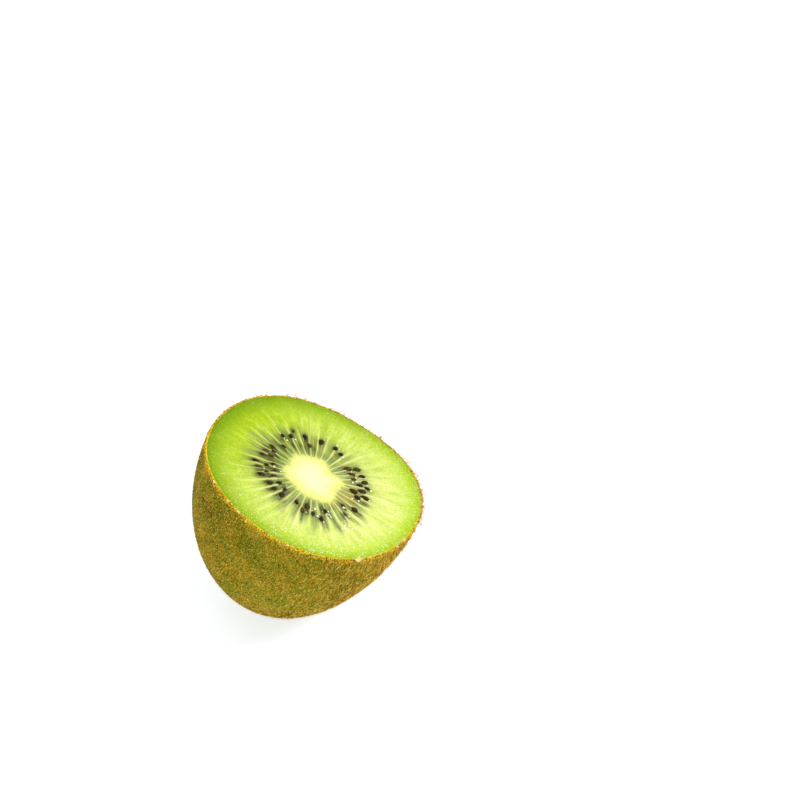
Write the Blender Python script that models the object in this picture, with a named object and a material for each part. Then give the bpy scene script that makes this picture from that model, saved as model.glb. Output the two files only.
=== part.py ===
"""A kiwi fruit half, cut across its middle, resting on its skin with the cut face leaning towards +X.

Metres, +Z up. The origin is the middle of the small flat spot that the fruit rests on. The shapes are made
in the fruit's own frame, with its origin in the middle of the cut face, +Z out of the face and +X towards
the low side of the rim, and are then leaned and lifted into place.
"""

import math
import random

import bmesh
import bpy
from mathutils import Matrix, Vector

# The half as a whole
MEAN_RADIUS = 0.0252  # of the cut face, out to the skin
HALF_LENGTH = 0.0363  # from the cut face to the closed end
LEAN_DEG = 23.0  # how far the cut face tips from level
FACE_CENTRE = Vector((0.0073, 0.0, 0.0336))  # above the floor, which presses a flat spot into the skin
PROFILE_POWERS = (1.93, 1.86)  # 2 and 2 would be an ellipse

# Waves in an outline, each as how many go round, their height, and the angle of a crest in degrees
RIM_WAVES = ((2, 0.00037, 68), (3, 0.00029, -34), (4, 0.00034, -32), (5, 0.00008, 20))
CORE_WAVES = (
    (1, 0.00053, -143),
    (2, 0.00044, 164),
    (4, 0.00036, -66),
    (5, 0.00024, -123),
    (6, 0.00040, -108),
)

# The pale core
CORE_RADIUS = 0.0069
CORE_LENGTH = 0.0285
CORE_POWERS = (2.2, 1.6)
CORE_EDGE_ROUND = 0.0003
GAP = 0.0003  # between the core and the flesh round it
POCKET_CUT_RISE = 0.002  # how far the pocket's cutter stands out of the face

# The seed chambers, hollows between thin radial walls
CHAMBERS = 36
CHAMBER_START = 0.0078
CHAMBER_END = (0.0130, 0.0165)  # shortest and longest reach from the centre
CHAMBER_DEPTH = 0.00035
CHAMBER_FADE = 0.0022  # along which a chamber slopes up to the face at its outer end

# The seeds
SEED_LENGTH = 0.0021
SEED_WIDTH = 0.00135
SEED_HEIGHT = 0.0010
SEED_SINK = 0.00012  # of a seed's middle under the face
SEED_UNEVEN = 0.16  # share by which a seed's size differs from the mean
SEED_TURN_DEG = 18.0  # most that a seed is turned off the radial line
SEED_SPACING = 0.00165
SEED_DRAW = 6167
SEED_TRIES = 60
# Arcs of the face as from and to in degrees, number of seeds, and nearest and furthest from the centre
SEED_ARCS = (
    (-45, 16, 12, 0.0090, 0.0126),
    (26, 60, 3, 0.0115, 0.0125),
    (64, 110, 6, 0.0092, 0.0142),
    (120, 146, 5, 0.0102, 0.0120),
    (150, 178, 8, 0.0090, 0.0140),
    (182, 208, 5, 0.0092, 0.0122),
    (220, 260, 6, 0.0103, 0.0134),
    (274, 300, 3, 0.0093, 0.0136),
)

# How finely the round shapes are divided
FRUIT_SEGMENTS = 3 * CHAMBERS
FRUIT_RINGS = 36
CORE_SEGMENTS = 48
CORE_RINGS = 20
SEED_SEGMENTS = 8
SEED_RINGS = 5
SHARP_DEG = 35.0
EQUATOR = 1e-5  # a height on the unit ball that counts as its middle ring

COLOURS = {
    "skin": ((0.25, 0.19, 0.025), 0.85),
    "pulp": ((0.42, 0.72, 0.06), 0.35),
    "seed": ((0.02, 0.014, 0.008), 0.25),
    "core": ((0.93, 0.93, 0.50), 0.45),
}


def clear_scene():
    for obj in list(bpy.data.objects):
        bpy.data.objects.remove(obj, do_unlink=True)


def new_collection(name):
    collection = bpy.data.collections.new(name)
    bpy.context.scene.collection.children.link(collection)
    return collection


def make_material(name):
    colour, roughness = COLOURS[name]
    material = bpy.data.materials.new(name)
    material.use_nodes = True
    shader = material.node_tree.nodes["Principled BSDF"]
    shader.inputs["Base Color"].default_value = (*colour, 1.0)
    shader.inputs["Roughness"].default_value = roughness
    shader.inputs["Metallic"].default_value = 0.0
    return material


def wavy_radius(mean, waves, angle):
    return mean + sum(
        height * math.cos(count * angle - math.radians(crest)) for count, height, crest in waves
    )


def taper(depth, powers):
    """The share of the rim's radius left at this share of the way down to a closed end."""
    inner, outer = powers
    return max(0.0, 1.0 - depth**inner) ** (1.0 / outer)


def smooth_step(value, low, high):
    share = min(1.0, max(0.0, (value - low) / (high - low)))
    return share * share * (3.0 - 2.0 * share)


def draw_chamber_ends():
    rng = random.Random(SEED_DRAW)
    return [rng.uniform(*CHAMBER_END) for _ in range(CHAMBERS)]


def face_relief(ends, radius, angle):
    """Height of the cut face: the chambers are a little lower than the thin walls between them."""
    turn = (angle / math.tau % 1.0) * CHAMBERS
    across = abs(turn - round(turn)) * 2.0
    end = ends[int(turn) % CHAMBERS]
    inside = smooth_step(radius, CHAMBER_START - GAP, CHAMBER_START) * (
        1.0 - smooth_step(radius, end - CHAMBER_FADE, end)
    )
    return -CHAMBER_DEPTH * inside * smooth_step(across, 0.0, 0.5)


def shape_ball(segments, rings, place_top, place_side):
    """A ball with its upper half pressed into a face and its lower half drawn into the side and closed end."""
    bm = bmesh.new()
    bmesh.ops.create_uvsphere(bm, u_segments=segments, v_segments=rings, radius=1.0)
    for vert in bm.verts:
        angle = math.atan2(vert.co.y, vert.co.x)
        height = min(1.0, max(-1.0, vert.co.z))
        if height > EQUATOR:
            vert.co = place_top(1.0 - math.asin(height) / (math.pi / 2), angle)
        else:
            vert.co = place_side(max(0.0, -height), angle)
    return bm


def shape_fruit():
    ends = draw_chamber_ends()

    def rim(angle):
        return wavy_radius(MEAN_RADIUS, RIM_WAVES, angle)

    def place_top(share, angle):
        radius = share * rim(angle)
        return polar(radius, angle, face_relief(ends, radius, angle))

    def place_side(depth, angle):
        return polar(rim(angle) * taper(depth, PROFILE_POWERS), angle, -HALF_LENGTH * depth)

    return shape_ball(FRUIT_SEGMENTS, FRUIT_RINGS, place_top, place_side)


def shape_core(extra=0.0, rise=0.0):
    """The core, or with a little extra all round and a rise above the face, the cutter of its pocket."""

    def rim(angle):
        return wavy_radius(CORE_RADIUS, CORE_WAVES, angle) + extra

    edge_drop = 0.0 if rise else CORE_EDGE_ROUND

    def place_top(share, angle):
        return polar(share * rim(angle), angle, rise - edge_drop * smooth_step(share, 0.8, 1.0))

    def place_side(depth, angle):
        edge = rise - edge_drop if depth < EQUATOR else 0.0
        return polar(rim(angle) * taper(depth, CORE_POWERS), angle, edge - (CORE_LENGTH + extra) * depth)

    return shape_ball(CORE_SEGMENTS, CORE_RINGS, place_top, place_side)


def polar(radius, angle, height):
    return Vector((radius * math.cos(angle), radius * math.sin(angle), height))


def lean_matrix():
    return Matrix.Translation(FACE_CENTRE) @ Matrix.Rotation(math.radians(LEAN_DEG), 4, "Y")


def cut_flat_spot(bm):
    """Cuts the fruit off level at the floor, so that it rests as it lies."""
    geometry = bm.verts[:] + bm.edges[:] + bm.faces[:]
    cut = bmesh.ops.bisect_plane(bm, geom=geometry, plane_co=(0, 0, 0), plane_no=(0, 0, -1), clear_outer=True)
    edges = [item for item in cut["geom_cut"] if isinstance(item, bmesh.types.BMEdge)]
    for face in bmesh.ops.edgeloop_fill(bm, edges=edges)["faces"]:
        face.normal_update()
        if face.normal.z > 0:
            face.normal_flip()


def link_mesh(name, bm, collection, materials):
    mesh = bpy.data.meshes.new(name)
    bm.to_mesh(mesh)
    bm.free()
    mesh.shade_smooth()
    mesh.set_sharp_from_angle(angle=math.radians(SHARP_DEG))
    for material in materials:
        mesh.materials.append(material)
    obj = bpy.data.objects.new(name, mesh)
    collection.objects.link(obj)
    return obj


def draw_seeds():
    """Place, turn and size of each seed, drawn arc by arc with none too near another."""
    rng = random.Random(SEED_DRAW)
    seeds = []
    for start, end, count, nearest, furthest in SEED_ARCS:
        step = (end - start) / count
        for index in range(count):
            for _ in range(SEED_TRIES):
                angle = math.radians(start + step * (index + rng.uniform(0.1, 0.9)))
                place = polar(rng.uniform(nearest, furthest), angle, -SEED_SINK)
                if all((place - other[0]).length > SEED_SPACING for other in seeds):
                    break
            turn = angle + math.radians(rng.uniform(-SEED_TURN_DEG, SEED_TURN_DEG))
            size = 1.0 + rng.uniform(-SEED_UNEVEN, SEED_UNEVEN)
            seeds.append((place, turn, size))
    return seeds


def make_seed(name, place, turn, size, collection, materials):
    """One seed: a drop shape with its point towards the core."""
    bm = bmesh.new()
    bmesh.ops.create_uvsphere(bm, u_segments=SEED_SEGMENTS, v_segments=SEED_RINGS, radius=0.5)
    bmesh.ops.rotate(bm, verts=bm.verts[:], matrix=Matrix.Rotation(math.pi / 2, 3, "Y"))
    for vert in bm.verts:
        narrow = 1.0 + 0.5 * vert.co.x
        vert.co = Vector(
            (
                vert.co.x * SEED_LENGTH * size,
                vert.co.y * SEED_WIDTH * size * narrow,
                vert.co.z * SEED_HEIGHT * size * narrow,
            )
        )
    bm.transform(lean_matrix() @ Matrix.Translation(place) @ Matrix.Rotation(turn, 4, "Z"))
    seed = link_mesh(name, bm, collection, materials)
    for face in seed.data.polygons:
        face.material_index = len(materials) - 1
    return seed


def fuse(obj, collection):
    """Joins a collection's objects onto obj, keeps the result as its mesh, and removes them."""
    join = obj.modifiers.new("join", "BOOLEAN")
    join.operation = "UNION"
    join.operand_type = "COLLECTION"
    join.collection = collection
    join.solver = "EXACT"
    joined = bpy.data.meshes.new_from_object(obj.evaluated_get(bpy.context.evaluated_depsgraph_get()))
    obj.modifiers.remove(join)
    obj.data = joined
    for loose in list(collection.objects):
        bpy.data.objects.remove(loose, do_unlink=True)
    bpy.data.collections.remove(collection)


def make_flesh(fruit, cutters):
    """The flesh with its skin and seeds, and a pocket for the core."""
    materials = skin, pulp, _ = [make_material(name) for name in ("skin", "pulp", "seed")]
    bm = shape_fruit()
    bm.transform(lean_matrix())
    cut_flat_spot(bm)
    flesh = link_mesh("flesh", bm, fruit, materials)
    out_of_face = lean_matrix().to_3x3() @ Vector((0, 0, 1))
    for face in flesh.data.polygons:
        face.material_index = materials.index(pulp if face.normal.dot(out_of_face) > 0 else skin)

    seeds = new_collection("seeds")
    for index, (place, turn, size) in enumerate(draw_seeds()):
        make_seed(f"seed_{index:02d}", place, turn, size, seeds, materials)
    fuse(flesh, seeds)

    bm = shape_core(extra=GAP, rise=POCKET_CUT_RISE)
    bm.transform(lean_matrix())
    cutter = link_mesh("core_pocket", bm, cutters, [])
    cutter.hide_render = True
    cutter.display_type = "WIRE"
    pocket = flesh.modifiers.new("core pocket", "BOOLEAN")
    pocket.operation = "DIFFERENCE"
    pocket.object = cutter
    pocket.solver = "EXACT"
    return flesh


def make_core(fruit):
    """The pale core, which runs down from the cut face and narrows to a point."""
    bm = shape_core()
    bm.transform(lean_matrix())
    return link_mesh("core", bm, fruit, [make_material("core")])


def main():
    clear_scene()
    fruit = new_collection("kiwi_fruit_half")
    cutters = new_collection("cutters")
    make_flesh(fruit, cutters)
    make_core(fruit)


main()
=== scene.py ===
"""Looks of a kiwi fruit half: the wet cut face with its core, rays and seeds, and the skin with its fuzz.

Metres. Shapes are made in the fruit's own frame, with its origin in the middle of the cut face, +Z out of the
face and +X towards the low side of the rim, and placed() leans and lifts them to where the solids are.
"""

import itertools
import math
import random

import bpy
import numpy as np
from mathutils import Matrix, Vector


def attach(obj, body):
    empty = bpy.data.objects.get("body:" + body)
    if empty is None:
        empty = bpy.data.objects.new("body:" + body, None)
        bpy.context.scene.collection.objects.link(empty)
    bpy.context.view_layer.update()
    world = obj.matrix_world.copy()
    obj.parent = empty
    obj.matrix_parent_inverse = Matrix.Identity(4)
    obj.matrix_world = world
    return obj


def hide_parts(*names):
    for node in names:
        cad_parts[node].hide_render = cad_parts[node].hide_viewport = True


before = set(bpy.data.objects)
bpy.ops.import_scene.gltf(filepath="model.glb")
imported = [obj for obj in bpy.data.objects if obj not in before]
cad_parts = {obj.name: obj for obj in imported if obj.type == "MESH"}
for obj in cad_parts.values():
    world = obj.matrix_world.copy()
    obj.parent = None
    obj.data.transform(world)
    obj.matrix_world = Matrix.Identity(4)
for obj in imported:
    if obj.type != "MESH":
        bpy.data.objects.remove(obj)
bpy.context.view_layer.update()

MM = 0.001

# The half as a whole, as the solids have it
MEAN_RADIUS = 25.2 * MM
HALF_LENGTH = 36.3 * MM
LEAN_DEG = 23.0
FACE_CENTRE = Vector((7.3, 0.0, 33.6)) * MM
PROFILE_POWERS = (1.93, 1.86)
# Waves in an outline, each as how many go round, their height, and the angle of a crest in degrees
RIM_WAVES = ((2, 0.37 * MM, 68), (3, 0.29 * MM, -34), (4, 0.34 * MM, -32), (5, 0.08 * MM, 20))
CORE_RADIUS = 6.9 * MM
CORE_WAVES = (
    (1, 0.53 * MM, -143),
    (2, 0.44 * MM, 164),
    (4, 0.36 * MM, -66),
    (5, 0.24 * MM, -123),
    (6, 0.40 * MM, -108),
)

# The seed chambers
CHAMBERS = 36
CHAMBER_END = (13.0 * MM, 16.5 * MM)
CHAMBER_DEPTH = 0.28 * MM
# How far out the dark of the chambers shows, which is furthest on the lower left
SHADE_REACH = 15.4 * MM
SHADE_WAVES = ((1, 1.6 * MM, -175), (2, 0.9 * MM, 156), (3, 0.5 * MM, 24))
SHADE_POWER = ((1, 0.07, -176), (2, 0.17, 176))

# The seeds, drawn by the same rule as on the solid
SEED_LENGTH = 2.1 * MM
SEED_WIDTH = 1.35 * MM
SEED_HEIGHT = 1.0 * MM
SEED_SINK = 0.12 * MM
SEED_UNEVEN = 0.16
SEED_TURN_DEG = 18.0
SEED_SPACING = 1.65 * MM
SEED_DRAW = 6167
SEED_TRIES = 60
# Arcs of the face as from and to in degrees, number of seeds, and nearest and furthest from the centre
SEED_ARCS = (
    (-45, 16, 12, 9.0 * MM, 12.6 * MM),
    (26, 60, 3, 11.5 * MM, 12.5 * MM),
    (64, 110, 6, 9.2 * MM, 14.2 * MM),
    (120, 146, 5, 10.2 * MM, 12.0 * MM),
    (150, 178, 8, 9.0 * MM, 14.0 * MM),
    (182, 208, 5, 9.2 * MM, 12.2 * MM),
    (220, 260, 6, 10.3 * MM, 13.4 * MM),
    (274, 300, 3, 9.3 * MM, 13.6 * MM),
)
# Seeds under the surface that show only as blurred dark spots
BURIED_ARCS = (
    (60, 96, 4, 8.8 * MM, 11.8 * MM),
    (96, 125, 4, 8.8 * MM, 12.8 * MM),
    (125, 215, 14, 8.4 * MM, 13.6 * MM),
    (215, 330, 13, 8.8 * MM, 14.0 * MM),
)
# Warm brownish places between the core and the seeds, each as place, turn and size
AMBER_SPOTS = (
    (Vector((5.4, -6.6, 0.0)) * MM, 0.0, 2.3),
    (Vector((7.6, -4.2, 0.0)) * MM, 0.0, 1.2),
    (Vector((0.6, -8.4, 0.0)) * MM, 0.0, 1.3),
)
# The flesh from the middle of the face to its edge: place, and colour where it is deepest, on the side in
# painted shade, and where palest, on the side in painted light
PULP = (
    (0.28, (156, 168, 70), (206, 210, 112)),
    (0.50, (152, 172, 44), (226, 238, 128)),
    (0.60, (156, 187, 12), (238, 249, 128)),
    (0.72, (184, 217, 26), (242, 253, 120)),
    (0.80, (178, 210, 22), (232, 250, 110)),
    (0.88, (154, 189, 4), (220, 242, 84)),
    (0.95, (130, 164, 0), (190, 224, 24)),
    (1.0, (118, 148, 0), (162, 196, 4)),
)
CHAMBER_DARK = ((0.36, (76, 88, 34)), (0.47, (112, 128, 62)), (0.58, (148, 166, 88)), (0.74, (194, 214, 114)))
RAY_PALE = ((0.0, (242, 248, 120)), (0.35, (253, 255, 150)), (1.0, (246, 255, 120)))
# The core from well inside it, as far in as the span in millimetres, to its edge
PITH_SPAN = 7.0
PITH = ((0.0, (255, 255, 214)), (0.50, (255, 255, 200)), (0.80, (252, 253, 160)), (1.0, (236, 240, 118)))

SKIN_THICK = 0.42 * MM
LOOK_DRAW = 29


# Numbers and shapes

def wavy_radius(mean, waves, angle):
    return mean + sum(height * np.cos(count * angle - math.radians(crest)) for count, height, crest in waves)


def taper(depth, powers=PROFILE_POWERS):
    inner, outer = powers
    return np.clip(1.0 - depth**inner, 0.0, 1.0) ** (1.0 / outer)


def smooth_step(value, low, high):
    share = np.clip((value - low) / (high - low), 0.0, 1.0)
    return share * share * (3.0 - 2.0 * share)


def turned(radius, angle, height):
    """Points at a distance and an angle round the fruit's axis, and at a height along it."""
    return np.stack(np.broadcast_arrays(radius * np.cos(angle), radius * np.sin(angle), height), -1)


def placed(points):
    """Points of the fruit's own frame, leaned and lifted to where the solids are."""
    turn = np.array(Matrix.Rotation(math.radians(LEAN_DEG), 3, "Y"))
    return points @ turn.T + np.array(FACE_CENTRE)


# Factors and shifts that scatter whole numbers
CELL_FACTORS = (73856093, 19349663, 83492791)
DRAW_FACTOR = 2654435761
SCATTER_STEPS = ((13, 1274126177), (11, 668265263))
SCATTER_TOP = 0x7FFFFFFF


def soft_noise(points, size, draw):
    """Smooth random values from -1 to 1 at points, which change over about the given size."""
    spot = points / size
    cell = np.floor(spot).astype(np.int64)
    part = spot - cell
    part = part * part * (3.0 - 2.0 * part)
    total = np.zeros(len(points))
    for corner in itertools.product((0, 1), repeat=3):
        mixed = np.bitwise_xor.reduce((cell + corner) * CELL_FACTORS, axis=1) ^ (draw * DRAW_FACTOR)
        for shift, factor in SCATTER_STEPS:
            mixed = ((mixed ^ (mixed >> shift)) * factor) & SCATTER_TOP
        value = mixed / (SCATTER_TOP // 2) - 1.0
        weight = np.prod(np.where(np.array(corner) == 1, part, 1.0 - part), axis=1)
        total += value * weight
    return total


def mesh_from(name, points, triangles=None, quads=None):
    """A mesh object from arrays of points and of faces."""
    mesh = bpy.data.meshes.new(name)
    faces = [f for f in (quads, triangles) if f is not None and len(f)]
    sizes = np.concatenate([np.full(len(f), f.shape[1], np.int32) for f in faces])
    corners = np.concatenate([f.ravel() for f in faces]).astype(np.int32)
    mesh.vertices.add(len(points))
    mesh.vertices.foreach_set("co", np.asarray(points, np.float32).ravel())
    mesh.loops.add(len(corners))
    mesh.loops.foreach_set("vertex_index", corners)
    mesh.polygons.add(len(sizes))
    mesh.polygons.foreach_set("loop_start", np.concatenate([[0], np.cumsum(sizes)[:-1]]).astype(np.int32))
    mesh.update(calc_edges=True)
    mesh.validate()
    mesh.shade_smooth()
    obj = bpy.data.objects.new(name, mesh)
    bpy.context.scene.collection.objects.link(obj)
    return obj


def ring_faces(rows, columns):
    """Quads and end triangles of a mesh made of rings, with its two end points last."""
    row, column = np.meshgrid(np.arange(rows - 1), np.arange(columns), indexing="ij")
    here, after = row * columns + column, row * columns + (column + 1) % columns
    quads = np.stack([here, after, after + columns, here + columns], -1).reshape(-1, 4)
    column = np.arange(columns)
    after = (column + 1) % columns
    end = (rows - 1) * columns
    first = np.stack([np.full(columns, rows * columns), after, column], -1)
    last = np.stack([np.full(columns, rows * columns + 1), end + column, end + after], -1)
    return quads, np.concatenate([first, last])


def closed_of_rings(name, rings, first, last):
    """A closed mesh from rings of points, all of one length, between two end points."""
    points = np.concatenate([rings.reshape(-1, 3), [first], [last]])
    quads, triangles = ring_faces(*rings.shape[:2])
    return mesh_from(name, points, triangles[:, [0, 2, 1]], quads[:, [0, 3, 2, 1]])


def add_attribute(obj, name, values, kind="FLOAT"):
    """Stores one value, or one vector, for each point of a mesh."""
    made = obj.data.attributes.new(name, kind, "POINT")
    made.data.foreach_set("value" if kind == "FLOAT" else "vector", np.asarray(values, np.float32).ravel())


# Materials

class Graph:
    """A material and its node tree."""

    def __init__(self, name, **shader_values):
        self.material = bpy.data.materials.new(name)
        self.material.use_nodes = True
        self.tree = self.material.node_tree
        self.shader = self.tree.nodes["Principled BSDF"]
        for key, value in shader_values.items():
            self.shader.inputs[key.replace("_", " ")].default_value = value

    def node(self, kind, values=None, **settings):
        made = self.tree.nodes.new("ShaderNode" + kind)
        for key, value in settings.items():
            setattr(made, key, value)
        for key, value in (values or {}).items():
            self.feed(made.inputs[key], value)
        return made

    def feed(self, socket, value):
        if isinstance(value, bpy.types.NodeSocket):
            self.tree.links.new(value, socket)
        else:
            socket.default_value = value

    def value_of(self, name):
        return self.node("Attribute", attribute_name=name).outputs["Fac"]

    def vector_of(self, name):
        return self.node("Attribute", attribute_name=name).outputs["Vector"]

    def place(self):
        """The point on the surface in metres, in the frame that the solids share."""
        return self.node("TexCoord").outputs["Object"]

    def stretched(self, vector, scale):
        return self.node("Mapping", {"Vector": vector, "Scale": scale}).outputs["Vector"]

    def noise(self, vector, scale, detail=2.0, roughness=0.5):
        values = {"Vector": vector, "Scale": scale, "Detail": detail, "Roughness": roughness}
        return self.node("TexNoise", values).outputs["Fac"]

    def cells(self, vector, scale, feature="F1"):
        values = {"Vector": vector, "Scale": scale}
        return self.node("TexVoronoi", values, feature=feature).outputs["Distance"]

    def math(self, operation, a, b=0.0, clamp=False):
        return self.node("Math", {0: a, 1: b}, operation=operation, use_clamp=clamp).outputs[0]

    def times(self, a, b, clamp=False):
        return self.math("MULTIPLY", a, b, clamp)

    def plus(self, a, b, clamp=False):
        return self.math("ADD", a, b, clamp)

    def centred(self, value):
        """A noise value moved to run on both sides of nought."""
        return self.math("SUBTRACT", value, 0.5)

    def stirred(self, value, noise, amount, clamp=False):
        """A value moved up and down by a noise."""
        return self.plus(value, self.times(self.centred(noise), amount), clamp)

    def band(self, value, low, high, to_low=0.0, to_high=1.0):
        values = {"Value": value, "From Min": low, "From Max": high, "To Min": to_low, "To Max": to_high}
        return self.node("MapRange", values, interpolation_type="SMOOTHSTEP").outputs["Result"]

    def ramp(self, factor, stops):
        made = self.node("ValToRGB", {"Fac": factor})
        elements = made.color_ramp.elements
        while len(elements) > 1:
            elements.remove(elements[-1])
        for index, (position, colour) in enumerate(stops):
            element = elements[0] if index == 0 else elements.new(position)
            element.position = position
            element.color = paint(*colour)
        return made.outputs["Color"]

    def mix(self, factor, a, b):
        made = self.node("Mix", data_type="RGBA")
        for socket, value in ((made.inputs[0], factor), (made.inputs[6], a), (made.inputs[7], b)):
            self.feed(socket, value)
        return made.outputs[2]

    def bump(self, height, distance, strength, normal=None):
        made = self.node("Bump", {"Height": height, "Distance": distance, "Strength": strength})
        if normal is not None:
            self.feed(made.inputs["Normal"], normal)
        return made.outputs["Normal"]

    def finish(self, colour, normal=None, roughness=None):
        for key, value in (("Base Color", colour), ("Normal", normal), ("Roughness", roughness)):
            if value is not None:
                self.feed(self.shader.inputs[key], value)
        return self.material


def paint(*screen_colour):
    """A colour as it looks on a screen, from 0 to 255, as the linear light that nodes take."""
    def linear(channel):
        share = channel / 255.0
        return share / 12.92 if share <= 0.04045 else ((share + 0.055) / 1.055) ** 2.4

    return (*map(linear, screen_colour), 1.0)


# The cut face

FACE_COLUMNS = 1080
FACE_ROWS = 156
SIDE_ROWS = 14
# Radial streaks are noise read on a steep cone of this radius, which rises by this share of the distance out
FAN_RADIUS = 26 * MM
FAN_SLOPE = 0.16
# Heights in the relief of the cut face
RAY_RISE = 0.04 * MM
STREAK_RISE = 0.020 * MM
LUMP_RISE = 0.040 * MM
GRAIN_RISE = 0.014 * MM
CORE_RISE = 0.10 * MM
SEED_LIP_RISE = 0.03 * MM
EDGE_FALL = 0.12 * MM
FLESH_INSET = 0.86  # of the flesh's edge inside the skin's outer surface, as a share of the lip's width
SUNK_SIDE_DEG = 165.0  # the side where the seeds lie deepest in the gel
PAINTED_LIGHT_DEG = -64.0  # the side of the face painted palest as painted light, with the far side painted deeper green as painted shade; partly the flesh's own paler side
NEAR_SIDE_DEG = -126.0  # the side where the lip of the skin shows broadest
CORE_FIBRES = 72  # rays that start at the core, every other one strong
THREADS = 150  # finer rays that start further out


def core_rim(angle):
    return wavy_radius(CORE_RADIUS, CORE_WAVES, angle)


def rim(angle):
    return wavy_radius(MEAN_RADIUS, RIM_WAVES, angle)


def near_side(angle):
    """From 0 where the rim is highest to 1 where its broad golden lip shows."""
    return 0.5 + 0.5 * np.cos(angle - math.radians(NEAR_SIDE_DEG))


def lip_width(angle):
    return (0.22 + 0.58 * near_side(angle)) * MM


def draw_spots(arcs, draw, spacing, sink):
    """Place, turn and size of each seed, drawn arc by arc with none too near another."""
    rng = random.Random(draw)
    spots = []
    for start, end, count, nearest, furthest in arcs:
        step = (end - start) / count
        for index in range(count):
            for _ in range(SEED_TRIES):
                angle = math.radians(start + step * (index + rng.uniform(0.1, 0.9)))
                radius = rng.uniform(nearest, furthest)
                place = Vector((radius * math.cos(angle), radius * math.sin(angle), -sink))
                if all((place - other[0]).length > spacing for other in spots):
                    break
            turn = angle + math.radians(rng.uniform(-SEED_TURN_DEG, SEED_TURN_DEG))
            size = 1.0 + rng.uniform(-SEED_UNEVEN, SEED_UNEVEN)
            spots.append((place, turn, size))
    return spots


def spot_field(x, y, spots, length, width, power=2.0):
    """Strength from 0 to 1 of soft oval spots at points of the face."""
    field = np.zeros_like(x)
    for place, turn, size in spots:
        along = (x - place.x) * math.cos(turn) + (y - place.y) * math.sin(turn)
        across = -(x - place.x) * math.sin(turn) + (y - place.y) * math.cos(turn)
        away = (along / (length * size)) ** 2 + (across / (width * size)) ** 2
        field = np.maximum(field, np.exp(-(away ** (power / 2))))
    return field


def one_each(rng, low, high):
    return np.array([rng.uniform(low, high) for _ in range(CHAMBERS)])


def in_chamber(angle, shift=0.0):
    """The number of the chamber at an angle, and how far across it that is, from -0.5 to 0.5."""
    turn = (angle / math.tau * CHAMBERS + shift) % CHAMBERS
    return np.floor(turn).astype(int) % CHAMBERS, turn - np.floor(turn) - 0.5


def chamber_relief(radius, angle):
    """How far each point of the face lies in a chamber, as the solid has its chambers."""
    ends = one_each(random.Random(SEED_DRAW), *CHAMBER_END)
    index, offset = in_chamber(angle)
    reach = np.clip((radius - core_rim(angle)) / (ends[index] - core_rim(angle)), 0.0, 1.0)
    return (np.sin(math.pi * reach) * np.cos(math.pi * offset)) ** 0.8


def chamber_shade(radius, angle, drift, streaks):
    """How dark each point is between the rays: soft uneven fingers round the core, one for each chamber."""
    rng = random.Random(LOOK_DRAW)
    middles = np.arange(CHAMBERS) * math.tau / CHAMBERS
    ends = wavy_radius(SHADE_REACH, SHADE_WAVES, middles) + one_each(rng, -1.0, 1.0) * MM
    power = one_each(rng, 0.66, 1.0) * wavy_radius(0.95, SHADE_POWER, middles)
    narrow = one_each(rng, -0.05, 0.05)
    index, offset = in_chamber(angle, 0.16 * drift)
    offset = np.abs(offset)
    begins = smooth_step(radius - core_rim(angle), -1.2 * MM, 0.1 * MM)
    by_core = 1.0 - smooth_step(radius, 8.6 * MM, 10.0 * MM)
    outward = radius + 1.0 * MM * streaks + 1.2 * MM * (2.0 * offset) ** 2
    fades = 1.0 - smooth_step(outward, ends[index] - 2.6 * MM, ends[index] + 1.2 * MM)
    across = 1.0 - smooth_step(offset + narrow[index] + 0.10 * streaks - 0.16 * by_core, 0.17, 0.46)
    broad = (0.16 + 0.44 * by_core) * (1.0 - smooth_step(outward, 12.0 * MM, 14.5 * MM))
    strength = power[index] * (1.0 + 0.4 * by_core)
    return np.clip(begins * fades * strength * np.maximum(across, broad), 0.0, 1.0)


def ray_lines(radius, angle, drift):
    """How much each point belongs to a pale ray that runs out from the core."""
    rng = random.Random(LOOK_DRAW + 1)
    pitch = math.tau / CORE_FIBRES
    inner = core_rim(angle)
    total = np.zeros_like(radius)
    for number in range(CORE_FIBRES + THREADS):
        strong = number < CORE_FIBRES and number % 2 == 0
        if number < CORE_FIBRES:
            middle = (number + rng.uniform(-0.22, 0.22)) * pitch
            begin = -1.0 * MM
            width = rng.uniform(0.15, 0.25) * MM if strong else rng.uniform(0.05, 0.10) * MM
            stop = rng.uniform(15.5, 21.5) * MM if strong else rng.uniform(12.5, 17.5) * MM
            power = rng.uniform(0.75, 1.0) if strong else rng.uniform(0.20, 0.72)
        else:
            middle = rng.uniform(0.0, math.tau)
            begin = rng.uniform(3.0, 11.0) * MM
            width = rng.uniform(0.05, 0.12) * MM
            stop = rng.uniform(16.5, 23.0) * MM
            power = rng.uniform(0.25, 0.70)
        sway, wave = rng.uniform(-0.016, 0.016), rng.uniform(0.0, math.tau)
        path = middle + sway * np.sin(radius / (4.2 * MM) + wave)
        away = (angle - path + math.pi) % math.tau - math.pi
        flare = 0.7 * np.exp(-(radius - inner) / (0.45 * MM)) - 0.30
        flare += 0.30 * smooth_step(radius, 8.8 * MM, 11.0 * MM)
        flare += 0.9 * smooth_step(radius, 12.5 * MM, 18.0 * MM)
        line = np.exp(-((away * radius / (width * (1.0 + flare))) ** 2))
        shown = smooth_step(radius - inner, begin - 0.4 * MM, begin + 1.6 * MM)
        shown = shown * (1.0 - smooth_step(radius, stop - 5.5 * MM, stop))
        total = np.maximum(total, power * line * shown * (0.86 + 0.14 * drift))
    return np.clip(total, 0.0, 1.0)


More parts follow.
